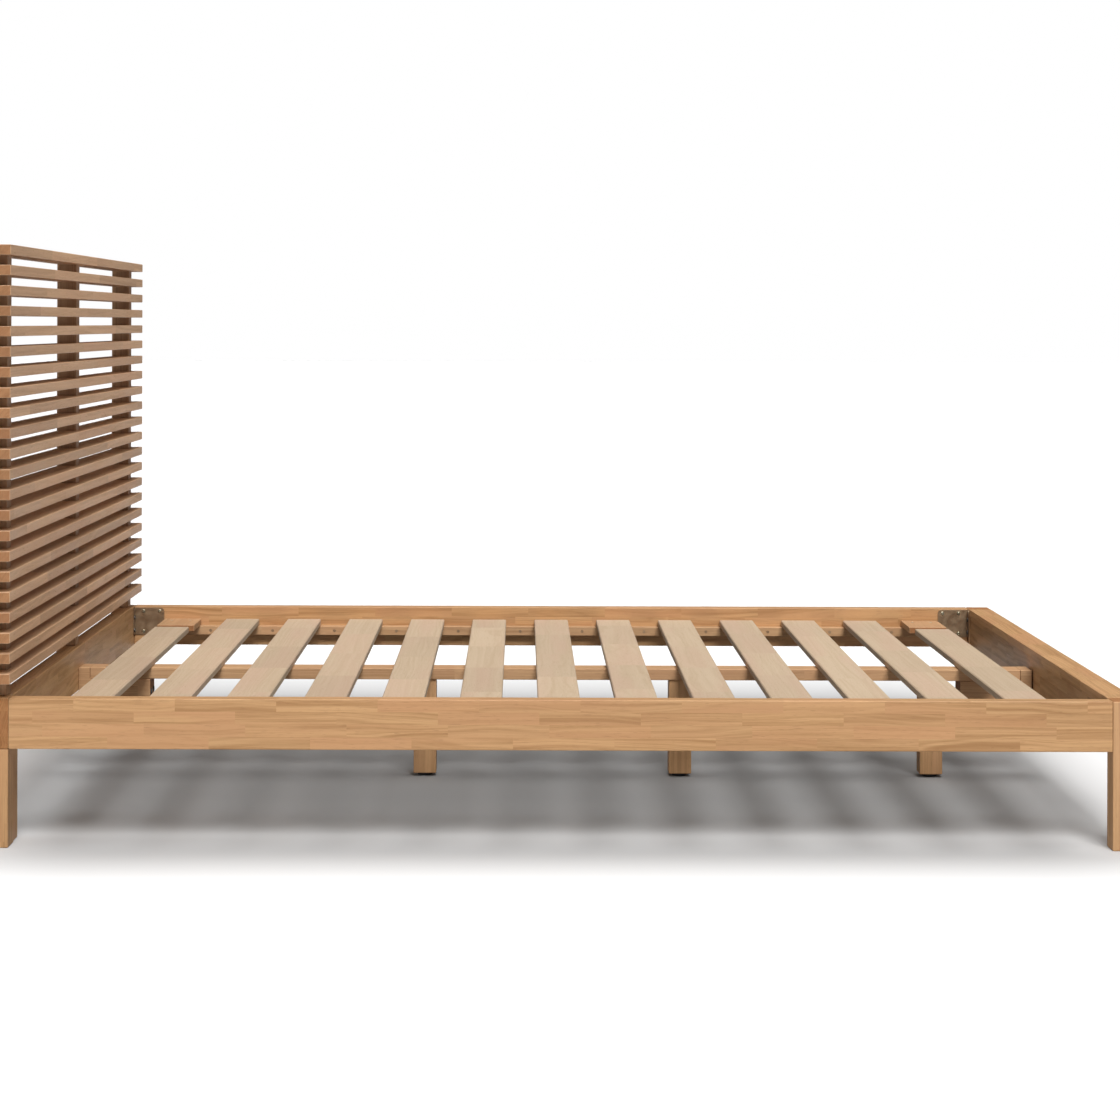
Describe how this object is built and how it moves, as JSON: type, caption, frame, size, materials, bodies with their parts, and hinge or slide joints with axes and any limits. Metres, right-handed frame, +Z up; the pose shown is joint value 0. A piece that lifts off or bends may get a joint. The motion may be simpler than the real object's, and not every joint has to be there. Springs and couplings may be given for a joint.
{
  "type": "bed frame",
  "caption": "Low platform bed frame in light wood: a headboard of deep horizontal sticks, side rails on square legs and loose flat slats over a centre beam.",
  "frame": {"origin": "on the floor, under the middle of the frame's overall length and width", "axes": "+X along the bed from the headboard to the foot, +Y across the bed to the left of someone lying on it, +Z up"},
  "size_m": [2.178, 1.666, 1.13],
  "materials": {
    "frame_wood": "light oiled wood with a fine straight grain, satin",
    "headboard_wood": "light oiled wood, satin",
    "slat_wood": "pale raw finger-jointed wood, matt",
    "bracket_steel": "dark bronze zinc plate, satin",
    "screw_steel": "plain zinc-plated steel",
    "glide_plastic": "matt black plastic"
  },
  "bodies": {
    "frame": {"side_rail_right": "frame_wood", "slat_ledger_right": "frame_wood", "head_leg_right": "frame_wood", "head_leg_backing_right": "frame_wood", "foot_leg_right": "frame_wood", "side_rail_left": "frame_wood", "slat_ledger_left": "frame_wood", "head_leg_left": "frame_wood", "head_leg_backing_left": "frame_wood", "foot_leg_left": "frame_wood", "head_rail": "frame_wood", "foot_rail": "frame_wood", "headboard_post_right": "headboard_wood", "headboard_post_middle": "headboard_wood", "headboard_post_left": "headboard_wood", "headboard_stick_01": "headboard_wood", "headboard_stick_02": "headboard_wood", "headboard_stick_03": "headboard_wood", "headboard_stick_04": "headboard_wood", "headboard_stick_05": "headboard_wood", "headboard_stick_06": "headboard_wood", "headboard_stick_07": "headboard_wood", "headboard_stick_08": "headboard_wood", "headboard_stick_09": "headboard_wood", "headboard_stick_10": "headboard_wood", "headboard_stick_11": "headboard_wood", "headboard_stick_12": "headboard_wood", "headboard_stick_13": "headboard_wood", "headboard_stick_14": "headboard_wood", "headboard_stick_15": "headboard_wood", "headboard_stick_16": "headboard_wood", "headboard_stick_17": "headboard_wood", "headboard_stick_18": "headboard_wood", "headboard_stick_19": "headboard_wood", "headboard_stick_20": "headboard_wood", "headboard_stick_21": "headboard_wood", "headboard_stick_22": "headboard_wood", "corner_block_head_right": "frame_wood", "corner_block_head_left": "frame_wood", "corner_block_foot_right": "frame_wood", "corner_block_foot_left": "frame_wood", "centre_beam": "frame_wood", "beam_hanger_head": "frame_wood", "beam_hanger_foot": "frame_wood", "centre_leg_1": "frame_wood", "centre_leg_2": "frame_wood", "centre_leg_3": "frame_wood"},
    "slat_01": {"mattress_slat_01": "slat_wood"},
    "slat_02": {"mattress_slat_02": "slat_wood"},
    "slat_03": {"mattress_slat_03": "slat_wood"},
    "slat_04": {"mattress_slat_04": "slat_wood"},
    "slat_05": {"mattress_slat_05": "slat_wood"},
    "slat_06": {"mattress_slat_06": "slat_wood"},
    "slat_07": {"mattress_slat_07": "slat_wood"},
    "slat_08": {"mattress_slat_08": "slat_wood"},
    "slat_09": {"mattress_slat_09": "slat_wood"},
    "slat_10": {"mattress_slat_10": "slat_wood"},
    "slat_11": {"mattress_slat_11": "slat_wood"},
    "slat_12": {"mattress_slat_12": "slat_wood"},
    "slat_13": {"mattress_slat_13": "slat_wood"}
  },
  "joints": [
    {"name": "slat_01_lift", "type": "slide", "parent": "frame", "child": "slat_01", "axis": [0, 0, 1], "range_m": [0, 0.15]},
    {"name": "slat_02_lift", "type": "slide", "parent": "frame", "child": "slat_02", "axis": [0, 0, 1], "range_m": [0, 0.15]},
    {"name": "slat_03_lift", "type": "slide", "parent": "frame", "child": "slat_03", "axis": [0, 0, 1], "range_m": [0, 0.15]},
    {"name": "slat_04_lift", "type": "slide", "parent": "frame", "child": "slat_04", "axis": [0, 0, 1], "range_m": [0, 0.15]},
    {"name": "slat_05_lift", "type": "slide", "parent": "frame", "child": "slat_05", "axis": [0, 0, 1], "range_m": [0, 0.15]},
    {"name": "slat_06_lift", "type": "slide", "parent": "frame", "child": "slat_06", "axis": [0, 0, 1], "range_m": [0, 0.15]},
    {"name": "slat_07_lift", "type": "slide", "parent": "frame", "child": "slat_07", "axis": [0, 0, 1], "range_m": [0, 0.15]},
    {"name": "slat_08_lift", "type": "slide", "parent": "frame", "child": "slat_08", "axis": [0, 0, 1], "range_m": [0, 0.15]},
    {"name": "slat_09_lift", "type": "slide", "parent": "frame", "child": "slat_09", "axis": [0, 0, 1], "range_m": [0, 0.15]},
    {"name": "slat_10_lift", "type": "slide", "parent": "frame", "child": "slat_10", "axis": [0, 0, 1], "range_m": [0, 0.15]},
    {"name": "slat_11_lift", "type": "slide", "parent": "frame", "child": "slat_11", "axis": [0, 0, 1], "range_m": [0, 0.15]},
    {"name": "slat_12_lift", "type": "slide", "parent": "frame", "child": "slat_12", "axis": [0, 0, 1], "range_m": [0, 0.15]},
    {"name": "slat_13_lift", "type": "slide", "parent": "frame", "child": "slat_13", "axis": [0, 0, 1], "range_m": [0, 0.15]}
  ]
}
